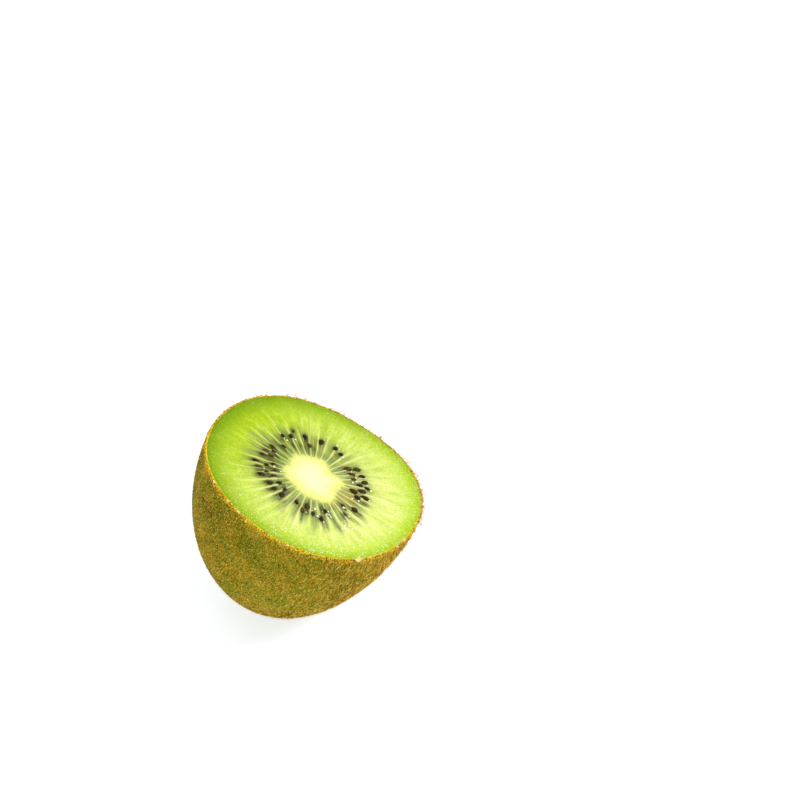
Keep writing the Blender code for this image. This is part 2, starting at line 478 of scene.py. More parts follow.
def make_flesh(seeds, buried):
    """The flesh and core as one closed piece, with the fine relief of the cut on its face."""
    angle = np.arange(FACE_COLUMNS) * math.tau / FACE_COLUMNS
    share = np.linspace(0.0, 1.0, FACE_ROWS + 1)[1:]
    edge = rim(angle) - FLESH_INSET * lip_width(angle)
    radius = share[:, None] * edge[None, :]
    angles = np.broadcast_to(angle, radius.shape)
    shape = radius.shape
    x, y = radius * np.cos(angles), radius * np.sin(angles)
    flat = turned(radius, angles, 0.0).reshape(-1, 3)
    fan = turned(FAN_RADIUS, angles, radius * FAN_SLOPE).reshape(-1, 3)
    drift = soft_noise(flat, 2.1 * MM, 3).reshape(shape)
    streaks = soft_noise(fan, 0.62 * MM, 4).reshape(shape)
    lumps = soft_noise(flat, 2.8 * MM, 5).reshape(shape)
    grain = soft_noise(flat, 0.36 * MM, 6).reshape(shape)

    from_core = radius - core_rim(angles)
    chamber = chamber_relief(radius, angles)
    shade = chamber_shade(radius, angles, drift, streaks)
    ray = ray_lines(radius, angles, drift)
    seed_bed = spot_field(x, y, seeds, 1.25 * MM, 0.85 * MM, 4.0)
    seed_lip = spot_field(x, y, seeds, 1.60 * MM, 1.15 * MM, 4.0) - seed_bed
    seed_shade = spot_field(x, y, seeds, 1.70 * MM, 1.05 * MM)
    sunk = (0.5 + 0.5 * np.cos(angles - math.radians(SUNK_SIDE_DEG))) ** 2
    seed_gel = spot_field(x, y, seeds, 1.25 * MM, 0.82 * MM, 3.0) * (0.35 + 0.50 * sunk)
    dark_spot = spot_field(x, y, buried, 1.15 * MM, 0.66 * MM, 3.0)
    amber = spot_field(x, y, AMBER_SPOTS, 1.0 * MM, 1.0 * MM)
    # Painted light and shade: the face grows paler towards the lit lower right and deeper green on the far
    # side, partly the flesh's own paler side
    painted_light_side = np.cos(angles - math.radians(PAINTED_LIGHT_DEG)) * smooth_step(radius, 0.0, 11.0 * MM)

    outside = smooth_step(from_core, 0.0, 1.5 * MM)
    height = (
        -CHAMBER_DEPTH * chamber * (1.0 - 0.6 * ray)
        + RAY_RISE * ray * outside
        + STREAK_RISE * streaks * outside * (1.0 - smooth_step(radius, 17 * MM, 22 * MM))
        + LUMP_RISE * lumps
        + GRAIN_RISE * grain
        + CORE_RISE * (1.0 - smooth_step(from_core, -1.6 * MM, 0.2 * MM))
        + SEED_LIP_RISE * seed_lip
        - EDGE_FALL * smooth_step(share, 0.978, 1.0)[:, None] ** 2
    )
    gel = (0.10 + 0.12 * sunk + 0.10 * streaks + 0.05 * grain) * MM
    height = height * (1.0 - seed_bed) + gel * seed_bed
    face = turned(radius, angles, height)

    depth = np.sin(np.linspace(0.0, math.pi / 2, SIDE_ROWS + 1)[1:-1])[:, None]
    below = turned(edge * taper(depth), angle, -(HALF_LENGTH - SKIN_THICK) * depth)
    rings = np.concatenate([face, below])
    points = placed(rings.reshape(-1, 3))
    points[:, 2] = np.maximum(points[:, 2], SKIN_THICK)
    centre = placed(np.array([[0.0, 0.0, float(height[0].mean())]]))[0]
    tip = placed(np.array([[0.0, 0.0, -(HALF_LENGTH - SKIN_THICK)]]))[0]
    tip[2] = max(tip[2], SKIN_THICK)
    obj = closed_of_rings("flesh_and_core", points.reshape(rings.shape), centre, tip)
    obj.data.set_sharp_from_angle(angle=math.radians(50))

    def to_points(field, fill=0.0, middle=0.0):
        rest = np.full(below[..., 0].size, fill)
        return np.concatenate([field.ravel(), rest, [middle, fill]])

    fields = {
        "share": to_points(share[:, None] * np.ones_like(radius), 1.0),
        "from_core": to_points(from_core / MM, 18.0, -CORE_RADIUS / MM),
        "radius": to_points(radius / MM, 25.0),
        "ray": to_points(ray),
        "shade": to_points(shade),
        "seed_shade": to_points(seed_shade),
        "seed_gel": to_points(seed_gel),
        "dark_spot": to_points(dark_spot),
        "amber": to_points(amber),
        "painted_light_side": to_points((0.5 + 0.5 * painted_light_side) ** 0.8, 0.5, 0.5),
    }
    for name, values in fields.items():
        add_attribute(obj, name, values)
    polar = np.stack([to_points(field) for field in (np.cos(angles), np.sin(angles), radius / MM)], -1)
    add_attribute(obj, "polar", polar, "FLOAT_VECTOR")
    flat_place = np.stack([to_points(field / MM) for field in (x, y, height)], -1)
    add_attribute(obj, "face_mm", flat_place, "FLOAT_VECTOR")
    obj.data.materials.append(flesh_material())
    return obj


def flesh_material():
    g = Graph(
        "wet_flesh",
        Roughness=0.40,
        IOR=1.36,
        Specular_IOR_Level=0.20,
        Subsurface_Weight=0.22,
        Subsurface_Scale=0.0006,
        Subsurface_Radius=(0.9, 1.0, 0.35),
        Coat_Weight=0.10,
        Coat_Roughness=0.12,
        Coat_IOR=1.34,
    )
    share, from_core, radius = g.value_of("share"), g.value_of("from_core"), g.value_of("radius")
    ray, shade = g.value_of("ray"), g.value_of("shade")
    polar, flat = g.vector_of("polar"), g.vector_of("face_mm")

    fibres = g.noise(g.stretched(polar, (34.0, 34.0, 0.20)), 1.0, 3.0, 0.65)
    threads = g.noise(g.stretched(polar, (85.0, 85.0, 0.36)), 1.0, 2.0, 0.6)
    patches = g.noise(flat, 0.24, 2.0, 0.5)
    cells = g.noise(flat, 4.0, 1.0, 0.5)
    grains = g.cells(flat, 3.2)
    plumes = g.noise(g.stretched(polar, (14.0, 14.0, 0.15)), 1.0, 2.0, 0.6)

    # The green flesh
    fibre_part = g.times(g.centred(fibres), g.band(radius, 17.5, 22.5, 0.24, 0.04))
    along = g.plus(share, g.stirred(fibre_part, patches, 0.10), clamp=True)
    # Painted light and shade: side runs from the far side, painted deeper as in shade, to the lit lower
    # right, painted paler
    side = g.stirred(g.value_of("painted_light_side"), patches, 0.7, clamp=True)
    deep = g.ramp(along, [(place, colour) for place, colour, _ in PULP])
    pulp = g.mix(side, deep, g.ramp(along, [(place, colour) for place, _, colour in PULP]))
    middle_ring = g.times(g.band(radius, 12.5, 15.5), g.band(radius, 19.0, 23.5, 1.0, 0.0))
    plume_ring = g.times(middle_ring, g.band(side, 0.1, 0.6, 0.55, 1.0))
    # Near-white specks that show only on the side painted as lit, part of its painted light
    painted_frost_sparkle = g.times(g.band(g.cells(flat, 2.2), 0.12, 0.30, 0.75, 0.0), g.band(radius, 13.5, 17.0))
    painted_frost_sparkle = g.times(painted_frost_sparkle, g.band(g.value_of("painted_light_side"), 0.25, 0.65))
    clouds = g.band(g.noise(flat, 0.8, 3.0, 0.65), 0.52, 0.70, 0.0, 0.50)
    thread_part = g.times(g.band(threads, 0.42, 0.68), g.band(radius, 16.0, 22.5, 0.60, 0.0))
    layers = (
        # how much of it shows, and its colour where the face is deepest, in painted shade, and where it is
        # palest, in painted light
        (g.times(g.band(plumes, 0.50, 0.68, 0.0, 0.85), plume_ring), (208, 236, 30), (250, 254, 158)),
        (g.times(g.band(plumes, 0.34, 0.50, 0.70, 0.0), plume_ring), (146, 188, 26), (198, 228, 82)),
        (thread_part, (214, 238, 34), (252, 255, 176)),
        (g.band(cells, 0.50, 0.66, 0.0, 0.75), (130, 174, 2), (184, 220, 8)),
        (g.band(grains, 0.08, 0.34, 0.90, 0.0), (216, 240, 60), (253, 255, 200)),
        (painted_frost_sparkle, (255, 255, 214), (255, 255, 214)),
        (g.times(clouds, middle_ring), (208, 234, 44), (250, 254, 172)),
    )
    for amount, on_deep, on_pale in layers:
        pulp = g.mix(amount, pulp, g.mix(side, paint(*on_deep), paint(*on_pale)))

    # The dark of the chambers, what lies round and under the seeds, and the rays
    tone = g.plus(g.times(fibres, 0.75), g.times(threads, 0.35))
    dark = g.ramp(tone, CHAMBER_DARK)
    # Painted light: the dark of the chambers is paler on the lit side
    dark = g.mix(g.times(side, 0.14), dark, paint(150, 164, 120))
    colour = g.mix(g.times(shade, g.band(cells, 0.40, 0.66, 1.0, 0.74), clamp=True), pulp, dark)
    colour = g.mix(g.times(g.value_of("seed_shade"), 0.60), colour, paint(78, 82, 34))
    blurred = g.times(g.value_of("dark_spot"), g.band(fibres, 0.36, 0.56, 0.9, 0.62))
    colour = g.mix(blurred, colour, paint(64, 62, 24))
    colour = g.mix(g.value_of("seed_gel"), colour, paint(66, 60, 26))
    warm = g.times(g.value_of("amber"), g.band(fibres, 0.3, 0.6, 0.45, 0.9))
    colour = g.mix(warm, colour, paint(196, 178, 76))
    # Painted light: the rays are paler on the lit side
    pale_ray = g.mix(g.times(side, 0.66), g.ramp(g.band(from_core, 0.0, 9.0), RAY_PALE), paint(255, 255, 200))
    colour = g.mix(g.times(ray, 0.96), colour, pale_ray)

    # The core, with a ragged edge
    halo = g.stirred(g.stirred(from_core, g.noise(flat, 1.0, 4.0, 0.75), 3.0), fibres, 2.8)
    colour = g.mix(g.band(halo, 0.0, 1.2, 0.08, 0.0), colour, paint(196, 200, 82))
    pith = g.ramp(g.times(g.plus(from_core, PITH_SPAN), 1.0 / PITH_SPAN), PITH)
    pith = g.mix(g.band(g.noise(flat, 2.2, 3.0, 0.6), 0.42, 0.75, 0.0, 0.35), pith, paint(255, 255, 232))
    yellow = g.times(g.band(cells, 0.44, 0.60, 0.0, 0.6), g.band(from_core, -5.5, -0.5, 0.45, 1.0))
    pith = g.mix(yellow, pith, paint(236, 240, 92))
    colour = g.mix(g.band(halo, -0.60, 0.30, 1.0, 0.0), colour, pith)

    fine = g.bump(cells, 0.00004, 0.5)
    wet = g.bump(grains, 0.00005, 0.4, fine)
    return g.finish(colour, wet, g.band(cells, 0.3, 0.7, 0.30, 0.48))


# The seeds

SEED_COLUMNS = 18
SEED_ROWS = 11
STAINED_SEED_DEG = -43.0  # the seed nearest to this angle has an orange end


def make_seeds(seeds):
    """All the seeds as one piece: drops with the point towards the core and a faint ridge round them."""
    rows = np.arange(1, SEED_ROWS) / SEED_ROWS * math.pi
    columns = np.arange(SEED_COLUMNS) * math.tau / SEED_COLUMNS
    down, around = np.meshgrid(rows, columns, indexing="ij")
    ball = np.stack([-np.cos(down), np.sin(down) * np.cos(around), np.sin(down) * np.sin(around)], -1)
    angles = [math.degrees(math.atan2(place.y, place.x)) for place, _, _ in seeds]
    stained = np.argmin(np.abs(np.array(angles) - STAINED_SEED_DEG))
    points, triangles, quads = [], [], []
    tones, crowns, stains = [], [], []
    rng = np.random.default_rng(SEED_DRAW)
    seed_quads, seed_triangles = ring_faces(SEED_ROWS - 1, SEED_COLUMNS)
    for number, (place, turn, size) in enumerate(seeds):
        along = ball[..., 0]
        narrow = 0.88 + 0.25 * along - 0.12 * along**2
        ridge = 1.0 + 0.05 * np.exp(-((ball[..., 2] / 0.22) ** 2))
        lump = 1.0 + 0.03 * rng.standard_normal(ball.shape[:2])
        across = ball[..., 1] * SEED_WIDTH / 2 * narrow * 1.05 * ridge * lump
        upward = ball[..., 2] * SEED_HEIGHT / 2 * narrow * 1.05 * lump
        own = np.stack([along * SEED_LENGTH / 2, across, upward], -1) * size
        ends = np.array([[-SEED_LENGTH / 2 * size, 0, 0], [SEED_LENGTH / 2 * size, 0, 0]])
        own = np.concatenate([own.reshape(-1, 3), ends])
        tilt = rng.uniform(-0.16, 0.16)
        spin = np.array(Matrix.Rotation(turn, 3, "Z") @ Matrix.Rotation(tilt, 3, "Y"))
        points.append(own @ spin.T + np.array(place))
        shift = number * len(own)
        quads.append(seed_quads + shift)
        triangles.append(seed_triangles + shift)
        tones.append(np.full(len(own), rng.uniform()))
        unit = own / (np.array([SEED_LENGTH, SEED_WIDTH, SEED_HEIGHT]) / 2 * size)
        crowns.append(1.0 - np.hypot(unit[:, 0] - 0.15, unit[:, 1]))
        stains.append(smooth_step(-unit[:, 0], 0.2, 0.7) * (number == stained))
    obj = mesh_from("seeds", placed(np.concatenate(points)), np.concatenate(triangles), np.concatenate(quads))
    for key, values in (("tone", tones), ("crown", crowns), ("stain", stains)):
        add_attribute(obj, key, np.concatenate(values))
    obj.data.materials.append(seed_material())
    return obj


def seed_material():
    g = Graph(
        "seed_coat",
        Roughness=0.32,
        IOR=1.45,
        Specular_IOR_Level=0.10,
        Specular_Tint=(1.0, 0.86, 0.6, 1.0),
        Coat_Weight=0.12,
        Coat_Roughness=0.05,
    )
    place = g.place()
    web = g.cells(place, 4200.0, "DISTANCE_TO_EDGE")
    mottle = g.noise(place, 1100.0, 3.0)
    tone = g.plus(g.times(g.value_of("tone"), 0.55), g.times(mottle, 0.45))
    coat = g.ramp(tone, ((0.2, (38, 31, 3)), (0.55, (54, 45, 8)), (0.9, (72, 60, 16))))
    brown = g.ramp(tone, ((0.35, (48, 38, 4)), (0.58, (72, 56, 8)), (0.74, (140, 98, 18))))
    colour = g.mix(g.band(g.value_of("crown"), 0.35, 0.95, 0.0, 0.62), coat, brown)
    colour = g.mix(g.value_of("stain"), colour, paint(208, 122, 22))
    return g.finish(colour, g.bump(web, 0.00003, 0.5))


# The skin

SKIN_COLUMNS = 760
SKIN_ROWS = 150
INNER_ROWS = 8
RAG_DRAW = 17
RAG_RADIUS = 40 * MM  # of the ring on which the noise that tears the lip is read
# The cut lip of the skin, from inside out: share of its width in from the surface, height, and raggedness
LIP = (
    (1.00, -0.20 * MM, 0.00),
    (0.82, -0.09 * MM, 0.60),
    (0.60, -0.01 * MM, 1.00),
    (0.36, 0.02 * MM, 1.00),
    (0.18, 0.01 * MM, 1.00),
    (0.06, -0.05 * MM, 0.80),
)
SKIN_COLOURS = (
    (0.36, (46, 62, 6)),
    (0.44, (90, 118, 16)),
    (0.52, (134, 138, 26)),
    (0.60, (182, 132, 28)),
    (0.70, (242, 194, 84)),
)
LIP_COLOURS = ((0.36, (120, 60, 0)), (0.44, (206, 140, 4)), (0.53, (248, 206, 16)), (0.62, (255, 244, 110)))


def skin_point(angle, slope, lift=0.0):
    """A point of the skin. The slope is 0 at the rim and a right angle at the tip."""
    depth = np.sin(slope)
    across = rim(angle) * taper(depth) + lift * np.cos(slope)
    return turned(across, angle, -(HALF_LENGTH + lift) * depth)


def skin_frame(angle, slope):
    """Point, outward normal, and the direction down the fruit, at places on the skin."""
    step = 1e-4
    point = skin_point(angle, slope)
    around = skin_point(angle + step, slope) - skin_point(angle - step, slope)
    down = skin_point(angle, np.minimum(slope + step, math.pi / 2)) - skin_point(angle, slope - step)
    normal = np.cross(down, around)
    normal /= np.linalg.norm(normal, axis=-1, keepdims=True)
    outward = np.sign((normal * point).sum(-1, keepdims=True) + 1e-12)
    return point, normal * outward, down / np.linalg.norm(down, axis=-1, keepdims=True)


def make_skin():
    """The skin as a thin closed shell with small pimples outside and a ragged cut lip."""
    angle = np.arange(SKIN_COLUMNS) * math.tau / SKIN_COLUMNS
    slope = np.linspace(0.0, math.pi / 2, SKIN_ROWS + 1)[:-1] + 0.004
    slopes, angles = np.meshgrid(slope, angle, indexing="ij")
    point, normal, _ = skin_frame(angles, slopes)
    flat = point.reshape(-1, 3)
    pimples = np.maximum(0.0, soft_noise(flat, 0.62 * MM, 7)) ** 1.5
    swell = soft_noise(flat, 6.0 * MM, 8)
    rough = soft_noise(flat, 0.27 * MM, 9)
    lift = (0.12 * MM * pimples + 0.07 * MM * swell + 0.04 * MM * rough).reshape(slopes.shape)
    outer = point + normal * lift[..., None]

    ring = turned(RAG_RADIUS, angle, 0.0)
    coarse = soft_noise(ring, 1.7 * MM, RAG_DRAW)
    middle = soft_noise(ring, 0.55 * MM, RAG_DRAW + 1)
    lip = []
    for number, (inward, height, rag) in enumerate(LIP):
        fine = soft_noise(ring, 0.30 * MM, RAG_DRAW + 2 + number)
        ragged = rag * MM * (0.35 + 0.65 * near_side(angle))
        up = height + ragged * (0.14 * coarse + 0.20 * middle + 0.16 * fine)
        out = rim(angle) - inward * lip_width(angle) + ragged * (0.18 * middle + 0.13 * fine)
        lip.append(turned(out, angle, up))
    inner_slope = np.linspace(0.0, math.pi / 2, INNER_ROWS + 1)[1:-1]
    inner_angles = np.broadcast_to(angle, (len(inner_slope), SKIN_COLUMNS))
    inner = skin_point(inner_angles, inner_slope[:, None] * np.ones_like(inner_angles), -SKIN_THICK)
    rings = np.concatenate([inner[::-1], np.stack(lip), outer])
    points = placed(rings.reshape(-1, 3))
    lowest = np.repeat([SKIN_THICK, 0.0], [len(inner), len(LIP) + SKIN_ROWS])
    points[:, 2] = np.maximum(points[:, 2], np.repeat(lowest, SKIN_COLUMNS))
    tips = placed(np.array([[0.0, 0.0, -(HALF_LENGTH - SKIN_THICK)], [0.0, 0.0, -HALF_LENGTH]]))
    tips[:, 2] = np.maximum(tips[:, 2], [SKIN_THICK, 0.0])
    obj = closed_of_rings("skin", points.reshape(rings.shape), tips[0], tips[1])
    obj.data.set_sharp_from_angle(angle=math.radians(60))
    inward = np.array([1.0] * len(inner) + [ring[0] for ring in LIP])
    from_rim = np.concatenate([
        -inward[:, None] * smooth_step(near_side(angle), 0.15, 0.7)[None, :],
        np.broadcast_to((HALF_LENGTH / MM * np.sin(slope))[:, None], (SKIN_ROWS, SKIN_COLUMNS)),
    ]).ravel()
    add_attribute(obj, "from_rim", np.concatenate([from_rim, [0.0, HALF_LENGTH / MM]]))
    own = np.concatenate([rings.reshape(-1, 3), [[0, 0, -HALF_LENGTH]] * 2]) / MM
    add_attribute(obj, "own_mm", own, "FLOAT_VECTOR")
    obj.data.materials.append(skin_material())
    return obj


def skin_material():
    g = Graph("fuzzy_skin", Roughness=0.85, Specular_IOR_Level=0.03)
    place = g.vector_of("own_mm")
    specks = g.noise(place, 2.8, 2.0, 0.8)
    dots = g.cells(place, 2.0)
    large = g.noise(place, 0.17, 2.0, 0.5)
    base = g.ramp(g.stirred(specks, large, 0.25), SKIN_COLOURS)
    base = g.mix(g.band(dots, 0.12, 0.40, 0.54, 0.0), base, paint(190, 112, 14))
    base = g.mix(g.band(g.noise(place, 3.8, 2.0, 0.6), 0.58, 0.72, 0.0, 0.5), base, paint(250, 220, 104))
    edge = g.ramp(g.noise(place, 3.0, 2.0, 0.7), LIP_COLOURS)
    from_rim = g.value_of("from_rim")
    ragged = g.stirred(from_rim, g.noise(place, 1.1, 3.0, 0.7), 3.4)
    colour = g.mix(g.band(ragged, 0.0, 0.85, 1.0, 0.0), base, edge)
    line = g.stirred(from_rim, g.noise(place, 1.9, 2.0, 0.6), 1.6)
    colour = g.mix(g.band(line, -0.75, -0.35, 0.9, 0.0), colour, paint(255, 236, 56))
    return g.finish(colour, g.bump(g.noise(place, 2.6, 3.0, 0.7), 0.00024, 0.8))


# The fuzz

EVEN_STEPS = (0.7548776662, 0.5698402910)  # shares of a turn and of the depth that spread places evenly
BACKWARD_SHARE = 0.22  # of the hairs, which lie the other way
RISE_SPREAD = 0.16
LENGTH_SPREAD = (0.5, 1.35)
WIDTH_SPREAD = (0.7, 1.3)
ROOT_SINK = 0.04 * MM
FLOOR_GAP = 0.03 * MM
FUZZ_KINDS = (
    # name, count, length, width, outward angle, wander, bend, darkest and lightest colour
    ("fuzz_short_brown", 16000, 0.34 * MM, 0.20 * MM, 0.30, 0.9, 0.0, (58, 46, 2), (186, 126, 14)),
    ("fuzz_olive", 11000, 0.42 * MM, 0.18 * MM, 0.22, 0.6, 0.0, (56, 80, 6), (134, 164, 40)),
    ("fuzz_rust", 8200, 0.42 * MM, 0.19 * MM, 0.24, 0.6, 0.0, (164, 86, 4), (238, 156, 36)),
    ("fuzz_golden", 5500, 0.50 * MM, 0.19 * MM, 0.24, 0.45, 0.10, (204, 164, 40), (252, 224, 106)),
)
SUNNY_SIDE_DEG = -48.0  # where the long hairs crowd
SUNNY_TURN = -0.42  # how far these lie turned from straight down the skin, in radians
SUNNY_FUZZ = (
    ("fuzz_strokes", 6400, 1.15 * MM, 0.165 * MM, 0.24, 0.18, 0.0, (206, 138, 6), (255, 234, 104)),
    ("fuzz_dark_strokes", 4400, 0.90 * MM, 0.19 * MM, 0.18, 0.20, 0.0, (88, 56, 6), (156, 104, 22)),
)
RIM_FUZZ = (
    ("fuzz_rim_golden", 1300, 0.55 * MM, 0.15 * MM, 0.34, 1.5, 0.3, (236, 180, 8), (255, 238, 90)),
    ("fuzz_rim_rusty", 900, 0.34 * MM, 0.17 * MM, 0.26, 1.5, 0.2, (118, 52, 0), (190, 104, 4)),
    ("fuzz_rim_strays", 240, 2.20 * MM, 0.14 * MM, 0.70, 1.2, 0.4, (222, 160, 20), (250, 204, 70)),
)
# Of each of these, the furthest below the rim, as a share of the length, and how much they crowd
RIM_PLACES = ((0.022, 0.0), (0.030, 0.0), (0.010, 1.0))
# Where the rim's longest hairs crowd: angle, spread and strength
RIM_CROWDS = ((8, 0.30, 1.0), (82, 0.16, 0.45))


def thinned(rng, angle, depth, least):
    """Drops some of the places near the tip, where they would lie closer together."""
    keep = rng.uniform(0.0, 1.0, len(angle)) < np.maximum(taper(depth), least)
    return angle[keep], depth[keep]


def all_over(rng, wanted):
    """Angles and depths of places that lie evenly over the skin."""
    order = np.arange(3 * wanted)
    stray = 0.35 / math.sqrt(wanted)
    turns = (order * EVEN_STEPS[0] + rng.uniform()) % 1.0 + rng.normal(0.0, stray, len(order))
    depth = (order * EVEN_STEPS[1] + rng.uniform()) % 1.0 + rng.normal(0.0, stray, len(order))
    return thinned(rng, math.tau * turns, depth % 1.0, 0.22)


def on_sunny_side(rng, wanted):
    angle = math.radians(SUNNY_SIDE_DEG) + rng.normal(0.0, 0.62, 3 * wanted)
    return thinned(rng, angle, rng.uniform(0.0, 1.0, 3 * wanted) ** 1.1, 0.2)


def near_rim(lowest, crowding):
    def places(rng, wanted):
        angle = rng.uniform(0.0, math.tau, 6 * wanted)
        crowd = np.full(len(angle), 0.10)
        for middle, spread, strength in RIM_CROWDS:
            crowd += 0.9 * strength * np.exp(-((np.sin((angle - math.radians(middle)) / 2) / spread) ** 2))
        angle = angle[rng.uniform(0, 1, len(angle)) < (1.0 - crowding) + crowding * crowd]
        return angle, lowest * rng.uniform(0.0, 1.0, len(angle)) ** 2

    return places


def hairs(name, count, length, width, outward, wander, bend, draw, region, turn=0.0):
    """Many thin closed hairs on the skin as one piece. With a bend they have a joint half way."""
    rng = np.random.default_rng(draw)
    angle, depth = region(rng, count)
    slope = np.arcsin(np.minimum(depth[:count], 0.9999))
    root, normal, down = skin_frame(angle[:count], np.maximum(slope, 2e-4))
    side = np.cross(normal, down)
    total = len(root)
    lean_to = rng.normal(turn, wander, total) + math.pi * (rng.uniform(0, 1, total) < BACKWARD_SHARE)
    rise = np.clip(rng.normal(outward, RISE_SPREAD, total), 0.05, 1.4)[:, None]
    flat_way = down * np.cos(lean_to)[:, None] + side * np.sin(lean_to)[:, None]
    way = flat_way * np.cos(rise) + normal * np.sin(rise)
    reach = length * rng.uniform(*LENGTH_SPREAD, total)[:, None]
    broad = width * rng.uniform(*WIDTH_SPREAD, total)[:, None, None]
    cross_a = np.cross(way, normal)
    cross_a /= np.linalg.norm(cross_a, axis=-1, keepdims=True) + 1e-12
    cross_b = np.cross(way, cross_a)
    corner = (np.arange(3) * math.tau / 3)[None, :, None]
    section = cross_a[:, None, :] * np.cos(corner) + cross_b[:, None, :] * np.sin(corner)
    root = root - normal * ROOT_SINK
    rings = [root[:, None, :] + section * broad / 2]
    tip = root + way * reach
    if bend:
        middle = root + way * reach * 0.5
        sag = rng.normal(0.0, bend, total)[:, None] * side
        sag += rng.normal(-0.3 * bend, bend * 0.5, total)[:, None] * normal
        rings.append(middle[:, None, :] + section * broad * 0.40)
        tip = tip + sag * reach
    own = np.concatenate(rings + [tip[:, None, :]], axis=1)
    per_hair = own.shape[1]
    faces = [[0, 2, 1]]
    for level in range(len(rings) - 1):
        for k in range(3):
            a, b = level * 3 + k, level * 3 + (k + 1) % 3
            faces += [[a, b, b + 3], [a, b + 3, a + 3]]
    last = (len(rings) - 1) * 3
    faces += [[last + k, last + (k + 1) % 3, per_hair - 1] for k in range(3)]
    faces = np.array(faces)[None] + (np.arange(total) * per_hair)[:, None, None]
    points = placed(own.reshape(-1, 3))
    lying = FLOOR_GAP + 0.02 * MM * rng.uniform(0, 1, len(points))
    points[:, 2] = np.where(points[:, 2] < FLOOR_GAP, lying, points[:, 2])
    obj = mesh_from(name, points, faces.reshape(-1, 3))
    add_attribute(obj, "tone", np.repeat(rng.uniform(0.0, 1.0, total), per_hair))
    return obj


def hair_material(name, dark, light):
    g = Graph(name, Roughness=0.7, Specular_IOR_Level=0.04)
    mottle = g.noise(g.place(), 700.0, 2.0)
    mixed = g.plus(g.times(g.value_of("tone"), 0.75), g.times(mottle, 0.25))
    return g.finish(g.ramp(mixed, ((0.15, dark), (0.85, light))))


def make_fuzz():
    pieces = []

    def add(draw, kind, region, turn=0.0):
        *shape, dark, light = kind
        obj = hairs(*shape, draw, region, turn)
        obj.data.materials.append(hair_material(shape[0] + "_colour", dark, light))
        pieces.append(obj)

    for number, kind in enumerate(FUZZ_KINDS):
        add(LOOK_DRAW + number, kind, all_over)
    for number, kind in enumerate(SUNNY_FUZZ):
        add(LOOK_DRAW + 30 + number, kind, on_sunny_side, SUNNY_TURN)
    for number, (kind, place) in enumerate(zip(RIM_FUZZ, RIM_PLACES)):
        add(LOOK_DRAW + 40 + number, kind, near_rim(*place))
    return pieces


# The juice beads, with their painted glints, and the torn flakes

LOWER_BEADS = 430  # along the lower edge of the face
SPARE_BEADS = 16  # anywhere on it
GLINT_BEADS = 26  # in the row of painted glints below the core


def beads(name, spots, rng, rows=6, columns=10):
    """Small flattened beads on the face as one piece, each from its x, y, height and radius."""
    down = (np.arange(1, rows) / rows * math.pi)[:, None]
    ball = turned(np.sin(down), np.arange(columns) * math.tau / columns, np.cos(down)).reshape(-1, 3)
    ball = np.concatenate([ball, [[0, 0, 1], [0, 0, -1]]])
    quads, triangles = (faces[:, ::-1] for faces in ring_faces(rows - 1, columns))
    points = []
    for x, y, z, r in spots:
        turn = np.array(Matrix.Rotation(rng.uniform(0, math.pi), 3, "Z"))
        points.append((ball * [r * rng.uniform(0.8, 1.7), r, r * 0.6]) @ turn.T + [x, y, z])
    shift = np.arange(len(spots))[:, None, None] * len(ball)
    return mesh_from(
        name,
        placed(np.concatenate(points)),
        (triangles[None] + shift).reshape(-1, 3),
        (quads[None] + shift).reshape(-1, 4),
    )


def make_juice_glints(seeds):
    """Tiny beads of juice on the lower part of the face and beside the seeds, coloured near white and glowing
    faintly as painted glints.
    """
    rng = np.random.default_rng(LOOK_DRAW + 60)
    spots = []

    def add(angle, radius, height, r):
        spots.append((radius * math.cos(angle), radius * math.sin(angle), height, r))

    for _ in range(LOWER_BEADS):
        angle = math.radians(rng.normal(-98, 40))
        radius = (24.5 - abs(rng.normal(0.0, 3.6))) * MM
        r = (0.036 + 0.09 * rng.uniform() ** 3) * MM
        add(angle, radius, 0.25 * r, r)
    for _ in range(SPARE_BEADS):
        angle, radius, r = rng.uniform(0, math.tau), rng.uniform(9.0, 24.3) * MM, rng.uniform(0.05, 0.10) * MM
        add(angle, radius, 0.25 * r, r)
    for _ in range(GLINT_BEADS):
        radius = rng.uniform(9.5, 16.5) * MM
        angle = math.radians(rng.normal(-98, 4) if radius < 13.2 * MM else rng.normal(-85, 3))
        add(angle, radius, 0.0, rng.uniform(0.08, 0.18) * MM)
    for place, _, size in seeds:
        for _ in range(rng.choice([0, 1, 2, 3] if place.x - place.y > 0 else [0, 0, 0, 1])):
            away = math.radians(rng.normal(-62, 34))
            reach = rng.uniform(0.55, 0.95) * SEED_WIDTH * size * 1.25
            x, y = place.x + reach * math.cos(away), place.y + reach * math.sin(away)
            spots.append((x, y, 0.18 * MM, rng.uniform(0.10, 0.21) * MM))
    obj = beads("juice_beads_painted_glints", spots, rng)
    # Painted glints: the beads are coloured near white and glow faintly, standing in for the highlights on
    # wet juice
    g = Graph(
        "juice",
        Roughness=0.06,
        IOR=1.35,
        Coat_Weight=1.0,
        Coat_Roughness=0.03,
        Emission_Color=(1.0, 1.0, 0.92, 1.0),
        Emission_Strength=0.24,
    )
    colour = g.mix(g.noise(g.place(), 500.0), paint(255, 255, 222), paint(255, 255, 246))
    obj.data.materials.append(g.finish(colour))
    return obj


# Torn flakes on the rim, each as angle and size
FLAKES = (
    (-92.0, 2.0 * MM),
    (-64.0, 0.7 * MM),
    (-57.0, 0.8 * MM),
    (-129.0, 0.6 * MM),
    (-158.0, 0.7 * MM),
    (-166.0, 0.6 * MM),
    (-179.0, 0.8 * MM),
)
FLAKE_STEPS = 12
FLAKE_THICK = 0.10 * MM


